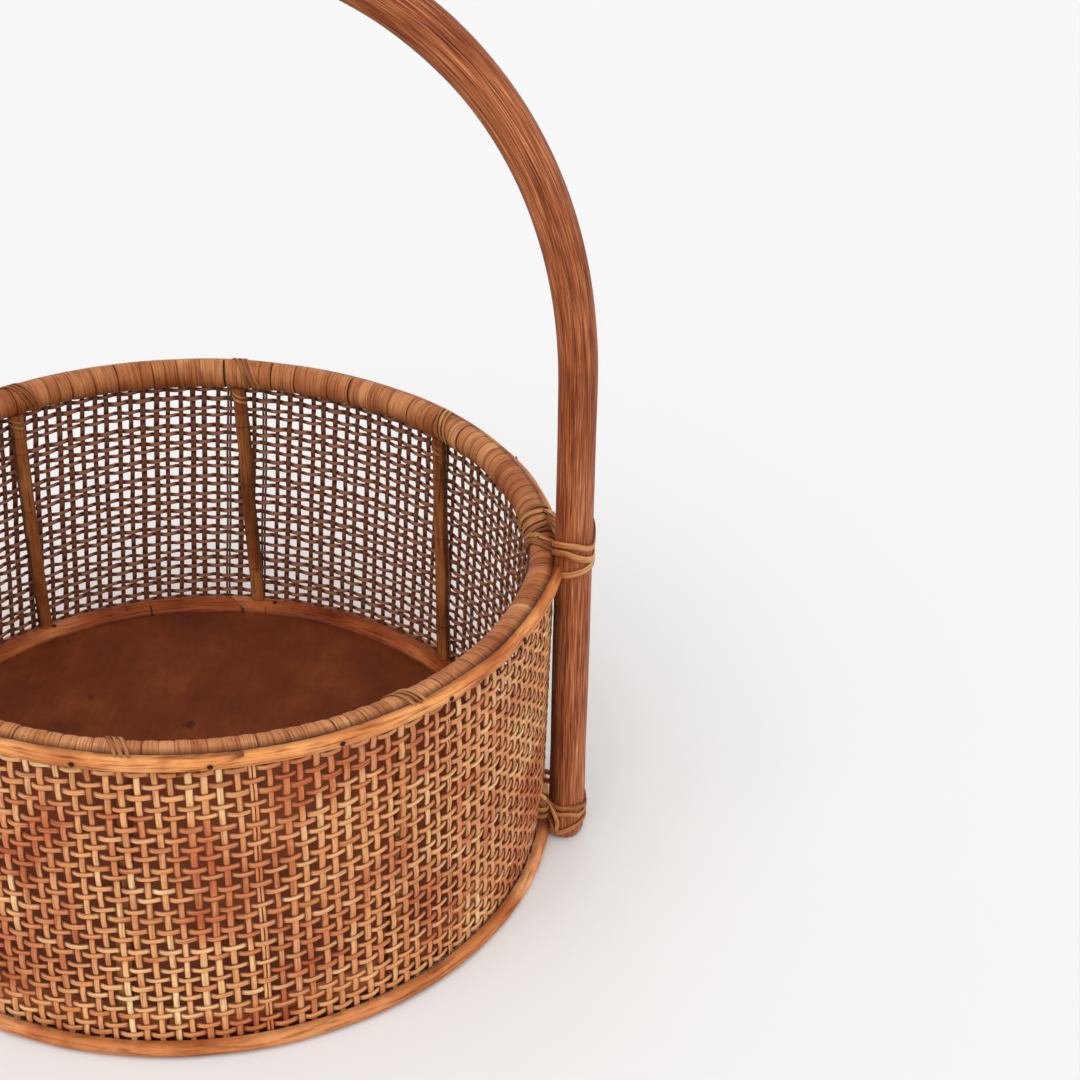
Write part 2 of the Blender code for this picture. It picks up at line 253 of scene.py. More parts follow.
class Bundle:
    """Gathers swept strips into one mesh.

    Its "grain" attribute holds the distance along a strip, the distance across it and the strip's
    own random number. Its "shape" attribute holds how far out on the section a point lies, how open
    the strip is to light there (-1 in a crevice to 1) and how near the strip's edge it is (0 to 1).
    """

    def __init__(self):
        self.points = []
        self.faces = []
        self.grain = []
        self.shape = []
        self.count = 0

    def sweep(self, path, across, out, section, closed=False, relief=1.0, seed=None):
        """Sweeps a section along a path. Across and out span the section's plane at each point."""
        steps = len(path)
        section = np.broadcast_to(section, (steps, *np.shape(section)[-2:]))
        sides = section.shape[1]
        rings = path[:, None] + across[:, None] * section[..., :1] + out[:, None] * section[..., 1:]
        ahead = np.roll(path, -1, axis=0) - path
        length = np.linalg.norm(ahead, axis=1)
        grain = np.empty((steps, sides, 3))
        grain[..., 0] = np.concatenate([[0.0], np.cumsum(length[:-1])])[:, None]
        grain[..., 1] = section[..., 0]
        grain[..., 2] = RANDOM.random() if seed is None else seed
        shape = np.empty((steps, sides, 3))
        shape[..., 0] = section[..., 1] / np.abs(section[..., 1]).max(axis=1, keepdims=True)
        shape[..., 1] = np.broadcast_to(np.asarray(relief, float).reshape(-1, 1), (steps, 1))
        shape[..., 2] = np.abs(section[..., 0]) / np.abs(section[..., 0]).max(axis=1, keepdims=True)

        index = self.count + np.arange(steps * sides).reshape(steps, sides)
        beside = np.roll(index, -1, axis=1)
        following = np.roll(index, -1, axis=0)
        quads = np.stack([index, beside, np.roll(following, -1, axis=1), following], axis=-1)
        if not closed:
            quads = quads[:-1]
        quads = quads.reshape(-1, 4)
        outward = np.dot(np.cross(across[0], out[0]), ahead[0]) > 0
        self.faces += (quads if outward else quads[:, ::-1]).tolist()
        if not closed:
            first, last = index[0].tolist(), index[-1].tolist()
            self.faces.append(first[::-1] if outward else first)
            self.faces.append(last if outward else last[::-1])
        self.points.append(rings.reshape(-1, 3))
        self.grain.append(grain.reshape(-1, 3))
        self.shape.append(shape.reshape(-1, 3))
        self.count += steps * sides

    def ribbon(self, points, normals, width, thickness, relief=1.0, steps=6):
        """A strip along a smooth curve through points, its face turned to the normals."""
        path = spline(points, steps)
        out = spline(normals, steps)
        tangent = unit(np.gradient(path, axis=0))
        out = unit(out - tangent * np.sum(out * tangent, axis=1, keepdims=True))
        self.sweep(path, np.cross(out, tangent), out, strip_section(width, thickness), relief=relief)

    def finish(self, name, finish, slot, nodes=()):
        """Makes the object, which rides on the root and stands for CAD nodes."""
        mesh = bpy.data.meshes.new(name)
        mesh.from_pydata(np.concatenate(self.points).tolist(), [], self.faces)
        for key, rows in (("grain", self.grain), ("shape", self.shape)):
            values = mesh.attributes.new(key, "FLOAT_VECTOR", "POINT")
            values.data.foreach_set("vector", np.concatenate(rows).ravel())
        mesh.shade_smooth()
        mesh.set_sharp_from_angle(angle=math.radians(50))
        mesh.materials.append(finish)
        piece = bpy.data.objects.new(name, mesh)
        bpy.context.scene.collection.objects.link(piece)
        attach(piece, "root")
        if nodes:
            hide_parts(*nodes)


# ---------------------------------------------------------------- materials


class Shader:
    """A small helper that adds nodes to one material."""

    def __init__(self, name):
        self.material = bpy.data.materials.new(name)
        self.material.use_nodes = True
        self.nodes = self.material.node_tree.nodes
        self.links = self.material.node_tree.links
        self.bsdf = self.nodes["Principled BSDF"]
        self.bsdf.inputs["Specular IOR Level"].default_value = 0.2
        self.along, self.across, self.seed = self.attribute("grain")
        self.side, self.relief, self.edge = self.attribute("shape")
        self.place = self.nodes.new("ShaderNodeTexCoord").outputs["Object"]

    def attribute(self, name):
        source = self.nodes.new("ShaderNodeAttribute")
        source.attribute_name = name
        split = self.nodes.new("ShaderNodeSeparateXYZ")
        self.links.new(source.outputs["Vector"], split.inputs[0])
        return split.outputs

    def feed(self, socket, value):
        if isinstance(value, bpy.types.NodeSocket):
            self.links.new(value, socket)
        else:
            socket.default_value = value

    def math(self, operation, *values):
        node = self.nodes.new("ShaderNodeMath")
        node.operation = operation
        for socket, value in zip(node.inputs, values):
            self.feed(socket, value)
        return node.outputs[0]

    def fibres(self, along, across, seed=60.0):
        """Coordinates that stretch a pattern along the strip, shifted from strip to strip."""
        node = self.nodes.new("ShaderNodeCombineXYZ")
        scaled = ((self.along, along), (self.across, across), (self.seed, seed))
        for socket, (value, scale) in zip(node.inputs, scaled):
            self.feed(socket, self.math("MULTIPLY", value, scale))
        return node.outputs[0]

    def noise(self, vector, scale=1.0, detail=4.0, roughness=0.55):
        node = self.nodes.new("ShaderNodeTexNoise")
        self.feed(node.inputs["Vector"], vector)
        node.inputs["Scale"].default_value = scale
        node.inputs["Detail"].default_value = detail
        node.inputs["Roughness"].default_value = roughness
        return node.outputs["Fac"]

    def ramp(self, value, *stops):
        """A colour or grey ramp from (position, colour) stops."""
        node = self.nodes.new("ShaderNodeValToRGB")
        self.feed(node.inputs[0], value)
        points = node.color_ramp.elements
        while len(points) < len(stops):
            points.new(0.5)
        for point, (position, colour) in zip(points, stops):
            point.position = position
            point.color = colour if isinstance(colour, tuple) else (colour, colour, colour, 1.0)
        return node.outputs["Color"]

    def mix(self, factor, first, second, blend="MIX"):
        node = self.nodes.new("ShaderNodeMix")
        node.data_type = "RGBA"
        node.blend_type = blend
        self.feed(node.inputs["Factor"], factor)
        self.feed(node.inputs[6], first)
        self.feed(node.inputs[7], second)
        return node.outputs[2]

    def bump(self, height, distance, strength):
        node = self.nodes.new("ShaderNodeBump")
        node.inputs["Distance"].default_value = distance
        node.inputs["Strength"].default_value = strength
        self.feed(node.inputs["Height"], height)
        self.links.new(node.outputs[0], self.bsdf.inputs["Normal"])

    def finish(self, colour, roughness):
        self.feed(self.bsdf.inputs["Base Color"], colour)
        self.feed(self.bsdf.inputs["Roughness"], roughness)
        return self.material


# A very dark red-brown: painted shade in crevices, on strip edges and where strips pass under, and the
# real dark of cracks and stake nodes.
SHADE_AND_MARK_DARK = srgb(52, 14, 4)


def cane_material(name, dark, middle, light, edge, streaks, cracks):
    """Split cane: lengthwise fibres, strips of different tone, blotches, and painted shade on the strip's
    edges and where its relief is low.

    Edge says how much painted shade darkens a strip's edges, and streaks how fine its fibres are across.
    """
    shader = Shader(name)
    fibre = shader.noise(shader.fibres(60.0, streaks), 1.0, 3.0)
    tone = shader.noise(shader.fibres(12.0, 40.0, 170.0), 1.0, 2.0)
    body = shader.ramp(tone, (0.32, dark), (0.50, middle), (0.68, light))
    body = shader.mix(0.65, body, shader.ramp(fibre, (0.34, srgb(120, 74, 48)), (0.52, 1.0)), "MULTIPLY")
    blotch = shader.ramp(shader.noise(shader.place, 42.0, 5.0), (0.40, srgb(196, 140, 110)), (0.58, 1.0))
    body = shader.mix(0.6, body, blotch, "MULTIPLY")
    # Painted shade on the strip's edges.
    body = shader.mix(shader.ramp(shader.edge, (0.84, 0.0), (1.0, edge)), body, SHADE_AND_MARK_DARK)
    # Darker where the relief is low: painted shade in the wraps' groove and on the lashing's inner turns,
    # and the real dark of the stakes' nodes; the ties and the hoops' lap ends are darkened too.
    body = shader.mix(shader.ramp(shader.relief, (0.0, 0.9), (0.7, 0.0)), body, SHADE_AND_MARK_DARK)
    height = fibre
    if cracks:
        split = shader.noise(shader.fibres(330.0, 45.0), 1.0, 2.0)
        crack = shader.ramp(split, (0.665, 0.0), (0.70, 0.85))
        body = shader.mix(crack, body, SHADE_AND_MARK_DARK)
        height = shader.math("SUBTRACT", fibre, crack)
    shader.bump(height, 0.00015, 0.8)
    return shader.finish(body, shader.ramp(fibre, (0.3, 0.62), (0.7, 0.42)))


def weave_material(name, inner_shade_low, inner_shade_high):
    """Woven cane: painted shade on its strand edges and where a strand passes under, and painted shade on
    its inner faces.
    """
    shader = Shader(name)
    fibre = shader.noise(shader.fibres(70.0, 1600.0), 1.0, 3.0)
    tone = shader.noise(shader.fibres(16.0, 60.0, 230.0), 1.0, 2.0)
    body = shader.ramp(
        tone,
        (0.30, srgb(196, 110, 62)),
        (0.42, srgb(216, 142, 88)),
        (0.54, srgb(232, 168, 112)),
        (0.70, srgb(246, 206, 150)),
    )
    body = shader.mix(0.5, body, shader.ramp(fibre, (0.34, srgb(120, 64, 34)), (0.50, 1.0)), "MULTIPLY")
    blotch = shader.ramp(shader.noise(shader.place, 24.0, 4.0), (0.36, srgb(206, 130, 100)), (0.54, 1.0))
    body = shader.mix(0.7, body, blotch, "MULTIPLY")
    # Painted shade on the strand edges.
    body = shader.mix(shader.ramp(shader.edge, (0.72, 0.0), (1.0, 0.7)), body, SHADE_AND_MARK_DARK)
    # Painted shade where a strand passes under another.
    open_air = shader.math("MULTIPLY_ADD", shader.relief, 0.5, 0.5)
    body = shader.mix(shader.ramp(open_air, (0.10, 0.95), (0.36, 0.0)), body, SHADE_AND_MARK_DARK)
    # Painted shade on the inner faces: darkest where a strand passes over as seen from outside.
    inner_shade = shader.ramp(open_air, (0.25, inner_shade_high), (0.75, inner_shade_low))
    inner_shade = shader.mix(0.6, inner_shade, shader.ramp(fibre, (0.34, 0.55), (0.56, 1.0)), "MULTIPLY")
    facing_in = shader.ramp(shader.math("MULTIPLY_ADD", shader.side, 0.5, 0.5), (0.02, 1.0), (0.30, 0.0))
    body = shader.mix(facing_in, body, inner_shade)
    shader.bump(fibre, 0.00012, 0.7)
    return shader.finish(body, shader.ramp(fibre, (0.3, 0.62), (0.7, 0.42)))


def pole_material():
    """Peeled rattan: reddish brown, with long dark streaks and pale fibres along the pole, and painted
    shade where the relief is low.
    """
    shader = Shader("rattan_pole")
    fine = shader.noise(shader.fibres(48.0, 2300.0), 1.0, 3.0, 0.62)
    broad = shader.noise(shader.fibres(14.0, 420.0), 1.0, 3.0, 0.6)
    body = shader.ramp(
        broad,
        (0.28, srgb(142, 72, 34)),
        (0.50, srgb(184, 108, 64)),
        (0.75, srgb(214, 142, 96)),
    )
    pores = shader.ramp(fine, (0.34, srgb(72, 26, 8)), (0.46, srgb(200, 172, 156)), (0.60, 1.0))
    body = shader.mix(0.85, body, pores, "MULTIPLY")
    body = shader.mix(shader.ramp(fine, (0.56, 0.0), (0.72, 0.7)), body, srgb(236, 164, 120))
    mottle = shader.ramp(shader.noise(shader.place, 20.0, 3.0), (0.38, srgb(204, 176, 150)), (0.60, 1.0))
    body = shader.mix(0.7, body, mottle, "MULTIPLY")
    # Painted shade where the relief is low: the legs' sides that face the basket.
    body = shader.mix(shader.ramp(shader.relief, (0.0, 0.85), (1.0, 0.0)), body, srgb(44, 16, 8))
    shader.bump(fine, 0.00025, 0.9)
    return shader.finish(body, shader.ramp(fine, (0.3, 0.62), (0.7, 0.42)))


def board_material():
    """Stained board: dark brown, faintly mottled, with soft brush marks and a few stains."""
    shader = Shader("stained_board")
    mottle = shader.noise(shader.place, 34.0, 7.0, 0.6)
    stretch = shader.nodes.new("ShaderNodeMapping")
    stretch.inputs["Scale"].default_value = (1.0, 0.12, 1.0)
    shader.links.new(shader.place, stretch.inputs["Vector"])
    brushed = shader.noise(stretch.outputs[0], 420.0, 3.0)
    body = shader.ramp(
        mottle,
        (0.30, srgb(92, 36, 8)),
        (0.55, srgb(112, 49, 14)),
        (0.75, srgb(132, 64, 24)),
    )
    body = shader.mix(0.4, body, shader.ramp(brushed, (0.35, 0.70), (0.62, 1.0)), "MULTIPLY")
    stain = shader.ramp(shader.noise(shader.place, 62.0, 2.0), (0.70, 0.0), (0.76, 0.7))
    body = shader.mix(stain, body, srgb(40, 22, 6))
    shader.bump(brushed, 0.0001, 0.5)
    return shader.finish(body, shader.ramp(mottle, (0.3, 0.65), (0.7, 0.52)))


def nail_material():
    """Dull dark iron with a little rust."""
    shader = Shader("nail_iron")
    rust = shader.noise(shader.place, 900.0, 3.0)
    shader.bsdf.inputs["Metallic"].default_value = 0.6
    shader.bump(rust, 0.0001, 0.5)
    body = shader.ramp(rust, (0.4, srgb(30, 18, 14)), (0.65, srgb(74, 38, 22)))
    return shader.finish(body, shader.ramp(rust, (0.4, 0.4), (0.7, 0.6)))


# ---------------------------------------------------------------- woven wall


def weave_rows():
    """The heights of the weft rows, a little uneven, as hand weaving is."""
    pitch = (WALL_TOP_Z - WALL_BOTTOM_Z - 0.004) / ROWS
    number = np.arange(ROWS)
    heights = WALL_BOTTOM_Z + 0.003 + pitch * (number + 0.5)
    return heights + pitch * (RANDOM.uniform(-0.12, 0.12, ROWS) + 0.08 * (-1.0) ** number)


def column_azimuth(column, z):
    """A warp's azimuth at a height: the weave slants a little round the wall."""
    step = TAU / COLUMNS
    drift = 0.06 * np.sin(column * 2.399) + 0.03 * np.sin(column * 5.1 + z * 90)
    return column * step + WALL_SLANT * (z - WALL_BOTTOM_Z) / WALL_BOTTOM_RADIUS + drift * step


def make_uprights(rows, finish):
    """The warps, each over one weft and under the next. A few are split down the middle."""
    bundle = Bundle()
    edges = np.concatenate([[WALL_BOTTOM_Z], rows, [WALL_TOP_Z]])
    heights = np.interp(np.arange(0, len(edges) - 1 + 0.01, 0.5), np.arange(len(edges)), edges)
    phase = np.arange(len(heights)) * 0.5
    for column in range(COLUMNS):
        relief = -np.cos(math.pi * (phase + column))
        azimuth = column_azimuth(column, heights)
        path = polar(azimuth, wall_radius(azimuth, heights) + WARP_WAVE * relief, heights)
        spoke = radial(azimuth)
        out = unit(spoke + np.cross(UP, spoke) * RANDOM.uniform(-0.12, 0.12))
        across = np.cross(UP, out)
        width = WARP_WIDTH * RANDOM.uniform(0.84, 1.14)
        shares = (-0.26, 0.26) if RANDOM.random() < 0.08 else (0.0,)
        for share in shares:
            section = strip_section(width * (0.44 if share else 1.0), STRAND_THICKNESS)
            bundle.sweep(path + across * share * width, across, out, section, relief=relief)
    bundle.finish("weave_uprights", finish, "woven_cane", ["woven_wall"])


def make_rounds(name, rows, finish):
    """Wefts, each a long strip that runs round the wall."""
    bundle = Bundle()
    samples = np.arange(COLUMNS * WEFT_SAMPLES) / WEFT_SAMPLES
    column = samples.astype(int)
    share = samples - column
    for row, height in rows:
        low = column_azimuth(column % COLUMNS, height)
        high = column_azimuth((column + 1) % COLUMNS, height) + np.where(column + 1 >= COLUMNS, TAU, 0)
        azimuth = low + (high - low) * share
        lift = WEFT_SWAY * smooth_noise(samples, COLUMNS, 23, 100 + row)
        z = height + lift + WEFT_JITTER * smooth_noise(samples, COLUMNS, 90, 400 + row)
        z = z - WEFT_SKEW * np.sin(math.pi * (samples + row))
        relief = -np.cos(math.pi * (samples + row))
        wave = WEFT_WAVE * np.tanh(WEFT_FLATNESS * relief) / math.tanh(WEFT_FLATNESS)
        slope = np.gradient(wave) / np.gradient(azimuth * WALL_BOTTOM_RADIUS)
        spoke = radial(azimuth)
        out = unit(spoke - np.cross(UP, spoke) * slope[:, None] * 0.7)
        path = polar(azimuth, wall_radius(azimuth, z) + wave, z)
        across = np.broadcast_to(UP, path.shape)
        width = WEFT_WIDTH * RANDOM.uniform(0.80, 1.20)
        section = strip_section(width, STRAND_THICKNESS)
        bundle.sweep(path, across, out, section, closed=True, relief=relief)
    bundle.finish(name, finish, "woven_cane")


# ---------------------------------------------------------------- hoops


def lapped_hoop(bundle, lap, lap_length, place, frame_at, sections_at, seed):
    """A hoop whose two pointed ends lie side by side on a slanting line."""
    azimuths = lap - lap_length / 2 + np.linspace(0, TAU + lap_length, 760)
    sections = sections_at(azimuths)
    limit = np.abs(sections[..., 0]).max()
    travel = azimuths - azimuths[0]
    head = np.clip(travel / lap_length, 0, 1) * 2 - 1
    tail = np.clip((travel - TAU) / lap_length, 0, 1) * 2 - 1
    top = np.where(travel < lap_length, head * limit - 0.0001, limit)
    low = np.where(travel > TAU, tail * limit + 0.0001, -limit)
    sections[..., 0] = np.clip(sections[..., 0], low[:, None], top[:, None])
    ends = np.minimum(travel, travel[-1] - travel)
    relief = np.clip(ends / lap_length * 2.4, 0.25, 1.0)
    across, out = frame_at(azimuths)
    bundle.sweep(place(azimuths), across, out, sections, relief=relief, seed=seed)


def upright_frame(azimuths):
    spoke = radial(azimuths)
    return np.broadcast_to(UP, spoke.shape), spoke


def flat_frame(azimuths):
    spoke = radial(azimuths)
    return spoke, np.broadcast_to(UP, spoke.shape)


def varied_sections(section, azimuths, seed, spread=0.05):
    """A section at each azimuth, its width and height varying a little."""
    width = 1 + spread * smooth_noise(azimuths, TAU, 41, seed)
    height = 1 + spread * smooth_noise(azimuths, TAU, 67, seed + 1)
    return section[None] * np.stack([width, height], axis=1)[:, None]


def make_binding(finish):
    """The turns of cane strip round the rim, each a little askew."""
    bundle = Bundle()
    start = math.radians(288)
    turn = np.linspace(start, math.radians(52), 19)
    pitch = TAU / WRAPS
    for wrap in range(WRAPS):
        azimuth = (wrap + RANDOM.uniform(-0.05, 0.05)) * pitch
        slant = 0.34 + RANDOM.uniform(-0.06, 0.06)
        share = (turn - start) / (turn[-1] - start) - 0.5
        here = azimuth + pitch * (slant * share + 0.06 * RANDOM.uniform(-1, 1) * np.cos(math.pi * share))
        radius = RING_SECTION - 0.0007 + RANDOM.uniform(0.0, 0.00035)
        distance = RING_RADIUS + radius * np.cos(turn)
        path = polar(here, distance + pull(here, RING_Z), RING_Z + radius * np.sin(turn))
        spoke = radial(here)
        out = spoke * np.cos(turn)[:, None] + UP * np.sin(turn)[:, None]
        width = pitch * distance * RANDOM.uniform(1.03, 1.09)
        sections = np.repeat(strip_section(1.0, 0.0013, 9)[None], len(turn), axis=0)
        sections[..., 0] *= width[:, None]
        # Painted shade: each wrap darkens where it turns into the groove between ring and band.
        relief = np.clip((turn - turn[-1]) / math.radians(36), 0.0, 1.0)
        bundle.sweep(path, np.cross(UP, spoke), out, sections, relief=relief)
    bundle.finish("rim_wraps", finish, "binding_cane", ["rim_binding"])


def make_band(finish):
    """The outer half-round band, with the lap where its ends meet."""
    bundle = Bundle()
    section = half_round_section(BAND_HALF_HEIGHT, BAND_DEPTH, 13)

    def place(azimuths):
        sway = 0.00025 * smooth_noise(azimuths, TAU, 31, 11)
        return polar(azimuths, BAND_INNER + pull(azimuths, BAND_Z), BAND_Z + sway)

    def sections(azimuths):
        return varied_sections(section, azimuths, 12)

    lapped_hoop(bundle, BAND_LAP, BAND_LAP_LENGTH, place, upright_frame, sections, 0.2)
    bundle.finish("rim_band", finish, "split_rattan", ["rim_outer_band"])


def make_base_hoop(finish):
    """The outer hoop at the foot, slightly uneven."""
    bundle = Bundle()
    section = half_round_section(HOOP_HEIGHT / 2, HOOP_DEPTH, 13)

    def place(azimuths):
        return polar(azimuths, HOOP_INNER, HOOP_HEIGHT / 2)

    def sections(azimuths):
        varied = varied_sections(section, azimuths, 21)
        varied[..., 0] = np.maximum(varied[..., 0], -HOOP_HEIGHT / 2)
        return varied

    lapped_hoop(bundle, HOOP_LAP, BAND_LAP_LENGTH, place, upright_frame, sections, 0.6)
    bundle.finish("foot_hoop", finish, "split_rattan", ["base_outer_hoop"])


def make_floor_hoop(finish):
    """The flatter hoop on the floor's edge, with its scarf joint."""
    bundle = Bundle()
    section = half_round_section(FLOOR_HOOP_HALF_WIDTH, FLOOR_HOOP_HIGH[2] - FLOOR_HOOP_LOW[2], 13)

    def place(azimuths):
        return polar(azimuths, FLOOR_HOOP_RADIUS, FLOOR_Z + 0.0001)

    def sections(azimuths):
        return varied_sections(section, azimuths, 31, 0.06)

    lapped_hoop(bundle, FLOOR_HOOP_LAP, FLOOR_HOOP_LAP_LENGTH, place, flat_frame, sections, 0.4)
    bundle.finish("floor_hoop", finish, "split_rattan", ["base_inner_hoop"])


# ---------------------------------------------------------------- stakes


def make_stakes(finish):
    """Round stakes inside the wall, each swollen and dark at its nodes."""
    for number, azimuth in enumerate(STAKE_AZIMUTHS, start=1):
        bundle = Bundle()
        z = np.linspace(STAKE_BOTTOM[1], STAKE_TOP[1], 160)
        share = (z - z[0]) / (z[-1] - z[0])
        turn = np.radians(azimuth + STAKE_LEAN * (2 * share - 1))
        turn = turn + 0.002 * smooth_noise(share, 1.3, 6, number)
        path = polar(turn, STAKE_BOTTOM[0] + (STAKE_TOP[0] - STAKE_BOTTOM[0]) * share, z)
        spoke = radial(turn)
        nodes = sum(np.exp(-(((z - node) / 0.0007) ** 2)) for node in STAKE_NODES)
        girth = 1 + 0.05 * smooth_noise(share, 1.3, 11, 40 + number) + 0.06 * nodes
        section = round_section(STAKE_SECTION, 16)[None] * girth[:, None, None]
        bundle.sweep(path, np.cross(UP, spoke), spoke, section, relief=1 - 0.75 * nodes)
        bundle.finish(f"stake_rod_{number}", finish, "split_rattan", [f"stake_{number}"])


def ring_point(azimuth, angle, lift=0.0006):
    """A point on the rim's ring and the normal there. Both angles are in degrees."""
    turn, angle = math.radians(azimuth), math.radians(angle)
    normal = radial(turn) * math.cos(angle) + UP * math.sin(angle)
    centre = polar(turn, RING_RADIUS + pull(turn, RING_Z), RING_Z)
    return centre + normal * (RING_SECTION + lift), normal


def make_ties(finish):
    """Three thin strands slant over the rim to each stake's top, and two pass round it."""
    for number, azimuth in enumerate(STAKE_AZIMUTHS, start=1):
        bundle = Bundle()
        top = azimuth + STAKE_LEAN
        for strand in range(3):
            shift = 0.4 - 0.95 * strand + RANDOM.uniform(-0.1, 0.1)
            angles = (25, 55, 85, 115, 145, 175, 205)
            places = [ring_point(top + shift - 0.022 * (angle - 85), angle) for angle in angles]
            points, normals = zip(*places)
            bundle.ribbon(points, normals, TIE_WIDTH, 0.0009, relief=0.55)
        for strand in range(2):
            z = 0.1345 - 0.0028 * strand
            angles = np.radians([80, 120, 160, 200, 240, 280])
            turn = math.radians(top)
            spoke, side = radial(turn), np.cross(UP, radial(turn))
            normals = [spoke * math.cos(a) + side * math.sin(a) for a in angles]
            centre = polar(turn, STAKE_TOP[0] + 0.0001, z)
            slope = np.linspace(0.0022, -0.0022, len(angles))
            points = [centre + n * 0.0034 + UP * rise for n, rise in zip(normals, slope)]
            bundle.ribbon(points, normals, TIE_WIDTH, 0.0008, relief=0.55)
        bundle.finish(f"tie_{number}", finish, "binding_cane", [f"stake_tie_{number}"])


# ---------------------------------------------------------------- handle


def bezier(points, steps):
    """Points on a cubic Bezier stretch, the last left out."""
    share = np.linspace(0, 1, steps, endpoint=False)[:, None]
    rest = 1 - share
    a, b, c, d = (np.array(p) for p in points)
    return rest**3 * a + 3 * rest**2 * share * b + 3 * rest * share**2 * c + share**3 * d


def pole_path():
    """The handle's centre line in XZ, from the right foot over the crown, and its radii."""
    lean = np.array([-math.sin(SPRING_LEAN), math.cos(SPRING_LEAN)])
    foot, spring, crown = np.array(FOOT), np.array(SPRING), np.array([0.0, CROWN_Z])
    leg = bezier((foot, foot + (spring - foot) / 3, spring - lean * SPRING[1] / 3, spring), LEG_STEPS)
    arch = bezier((spring, spring + lean * SPRING_HANDLE, crown + [CROWN_HANDLE, 0.0], crown), LEG_STEPS)
    half = np.concatenate([leg, arch])
    path = np.concatenate([half, [crown], half[::-1] * [-1, 1]])
    swelling = np.linspace(1, POLE_CROWN_SCALE, LEG_STEPS, endpoint=False)
    scale = np.concatenate([np.ones(LEG_STEPS), swelling])
    return path, POLE_RADIUS * np.concatenate([scale, [POLE_CROWN_SCALE], scale[::-1]])


def make_pole(finish):
    """The bent pole, faintly fluted, with rounded ends, and painted shade where it faces the basket below
    the rim.
    """
    flat, radii = pole_path()
    steps = len(flat)
    path = np.stack([flat[:, 0], np.zeros(steps), flat[:, 1]], axis=1)
    tangent = unit(np.gradient(path, axis=0))
    across = np.broadcast_to(np.array([0.0, 1.0, 0.0]), path.shape)
    out = np.cross(tangent, across)
    sides = 44
    turn = np.arange(sides) * TAU / sides
    flute = 0.012 * smooth_noise(turn, TAU, 19, 5) + 0.008 * smooth_noise(turn, TAU, 37, 6)
    swell = 0.015 * smooth_noise(np.arange(steps) * 1.0, 640.0, 41, 8)
    end = np.minimum(np.arange(steps), np.arange(steps)[::-1]) / 3
    rounding = np.sqrt(1 - 0.35 * np.clip(1 - end, 0, 1) ** 2)
    scale = (1 + flute[None] + swell[:, None]) * rounding[:, None]
    section = round_section(1.0, sides)[None] * (scale * radii[:, None])[..., None]
    bundle = Bundle()
    bundle.sweep(path, across, out, section, seed=0.37)
    around = np.abs(np.mod(turn + math.pi / 2 + math.pi, TAU) - math.pi) * POLE_RADIUS * 1.3
    bundle.grain[0][:, 1] = np.tile(around, steps)
    # Painted shade: the side that faces the basket darkens below the rim.
    inward = np.tile(np.sin(turn), steps) * np.sign(np.dot(out[0], (-1.0, 0.0, 0.0)))
    below_rim = np.repeat(np.clip((BAND_Z - flat[:, 1]) / 0.02, 0, 1), sides)
    bundle.shape[0][:, 1] = 1 - 0.85 * np.clip(inward * 1.25, 0, 1) * below_rim
    bundle.finish("pole", finish, "rattan_pole", ["handle_pole"])


def pole_point(angle, z, lift=0.0006):
    """A point on the right leg's surface and the normal there; angle 0 faces away from the basket."""
    normal = radial(math.radians(angle))
    return np.array([leg_x(z), 0.0, z]) + normal * (POLE_RADIUS + lift), normal


def wall_point(azimuth, z, lift=0.0012):
    """A point on the wall's outer face and the normal there."""
    turn = math.radians(azimuth)
    return polar(turn, wall_radius(turn, z) + lift, z), radial(turn)


def ring_pass(azimuths, angles=RING_ANGLES):
    return [ring_point(azimuth, angle) for azimuth, angle in zip(azimuths, angles)]


def pole_pass(heights):
    return [pole_point(angle, z / 1000) for angle, z in zip(LASH_ANGLES, heights)]


def lay_strand(bundle, places, half_turn, width=LASH_WIDTH, relief=0.9):
    """Lays a strand through places, turned half way round the basket for the left leg."""
    flip = np.array([-1.0, -1.0, 1.0]) if half_turn else np.ones(3)
    points, normals = (np.array(row) * flip for row in zip(*places))
    bundle.ribbon(points, normals, width, LASH_THICKNESS, relief)


def make_upper_lashing(side, half_turn, finish):
    """The strip that binds a leg to the rim.

    Two turns pass over the ring, one passes under the band, and three lie on the ring beneath them,
    painted dark as their shade.
    """
    bundle = Bundle()
    for out_azimuths, heights, back_azimuths in UPPER_TURNS:
        places = ring_pass(out_azimuths) + pole_pass(heights) + ring_pass(back_azimuths)[::-1]
        lay_strand(bundle, places, half_turn)
    heights, back_azimuths = UPPER_UNDER_TURN
    inside = [wall_point(-4.5, 0.1385, -0.0015), wall_point(-4.0, 0.1405, 0.0016)]
    lay_strand(bundle, inside + pole_pass(heights) + ring_pass(back_azimuths)[::-1], half_turn)
    # Painted shade: these three strands are darkened as the shade beneath the turns above.
    for azimuth in INNER_TURN_AZIMUTHS:
        places = ring_pass([azimuth + 0.3, azimuth, azimuth - 0.3, azimuth, azimuth + 0.5])
        places.append(ring_point(azimuth + 1.0, 20))
        lay_strand(bundle, places, half_turn, INNER_TURN_WIDTH, 0.3)
    nodes = [f"upper_lashing_{side}", f"upper_strap_{side}_1", f"upper_strap_{side}_2"]
    bundle.finish(f"upper_lash_{side}", finish, "binding_cane", nodes)


